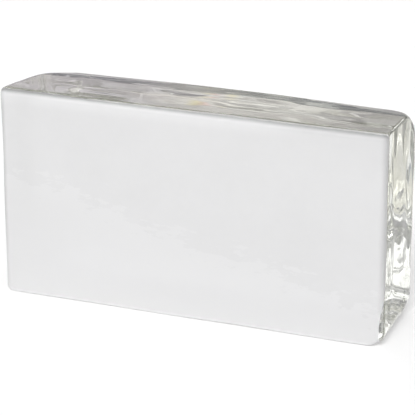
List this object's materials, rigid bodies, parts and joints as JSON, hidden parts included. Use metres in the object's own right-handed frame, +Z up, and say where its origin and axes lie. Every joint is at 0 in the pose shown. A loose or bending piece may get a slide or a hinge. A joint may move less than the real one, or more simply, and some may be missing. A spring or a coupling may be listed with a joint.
{
  "type": "solid glass block",
  "caption": "Solid clear glass block, cast in one piece, standing on its long narrow side, with a flat front face and back edges that roll over softly.",
  "frame": {"origin": "on the floor, under the middle of the block", "axes": "+X along the block's length, +Y from its flat front face to its rolled back face, +Z up"},
  "size_m": [0.22, 0.055, 0.118],
  "materials": {
    "clear_glass": "clear, fire-polished, slightly wavy"
  },
  "bodies": {
    "root": {"glass_block": "clear_glass"}
  },
  "joints": []
}
